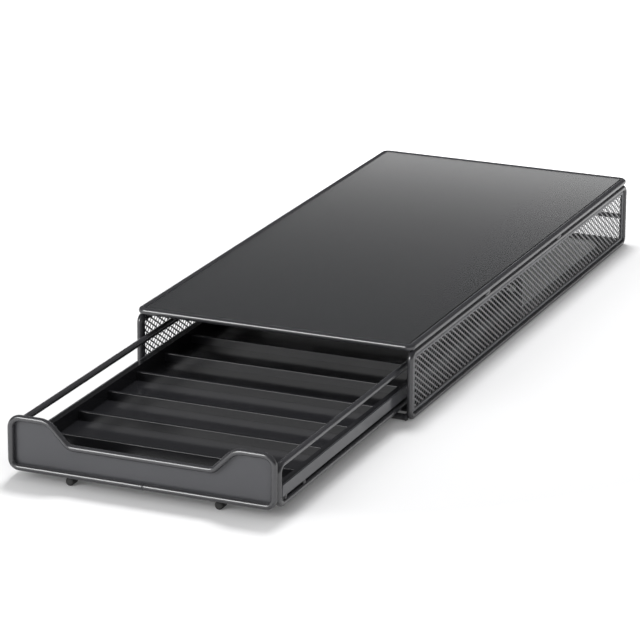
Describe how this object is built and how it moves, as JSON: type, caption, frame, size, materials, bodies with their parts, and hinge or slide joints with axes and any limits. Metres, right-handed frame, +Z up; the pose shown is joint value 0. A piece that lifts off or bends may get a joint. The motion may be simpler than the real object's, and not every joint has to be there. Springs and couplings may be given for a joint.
{
  "type": "coffee pod drawer",
  "caption": "Low case of round bar with diamond-mesh sides and a sheet lid, holding a sliding wire drawer whose ridged tray keeps coffee pods upright in rows.",
  "frame": {"origin": "bottom centre of the whole part as stored, with the drawer part way out", "axes": "+X to the right seen from the front, -Y the way the drawer opens, +Z up"},
  "size_m": [0.185, 0.597, 0.0486],
  "materials": {
    "coated_sheet": "satin",
    "coated_bar": "semi-gloss",
    "mesh_steel": "satin",
    "tray_coat": "gloss",
    "glide_rubber": "matt"
  },
  "bodies": {
    "case": {"top_plate": "coated_sheet", "lid_ring": "coated_bar", "left_side_frame": "coated_bar", "right_side_frame": "coated_bar", "left_side_mesh": "mesh_steel", "right_side_mesh": "mesh_steel", "front_floor_bar": "coated_bar", "rear_floor_bar": "coated_bar", "rear_middle_bar": "coated_bar", "left_runner": "coated_bar", "right_runner": "coated_bar", "rear_gussets": "coated_bar"},
    "drawer": {"front_panel": "coated_sheet", "front_rim": "coated_bar", "left_drawer_frame": "coated_bar", "right_drawer_frame": "coated_bar", "pod_tray": "tray_coat", "tray_front_bar": "coated_bar", "tray_rear_bar": "coated_bar", "tray_cross_bars": "coated_bar", "pod_rear_bar": "coated_bar", "stop_hooks": "coated_bar", "glide_stubs": "coated_bar", "glide_caps": "glide_rubber"}
  },
  "joints": [
    {"name": "drawer_slide", "type": "slide", "parent": "case", "child": "drawer", "axis": [0, -1, 0], "range_m": [-0.1715, 0.2108]}
  ]
}
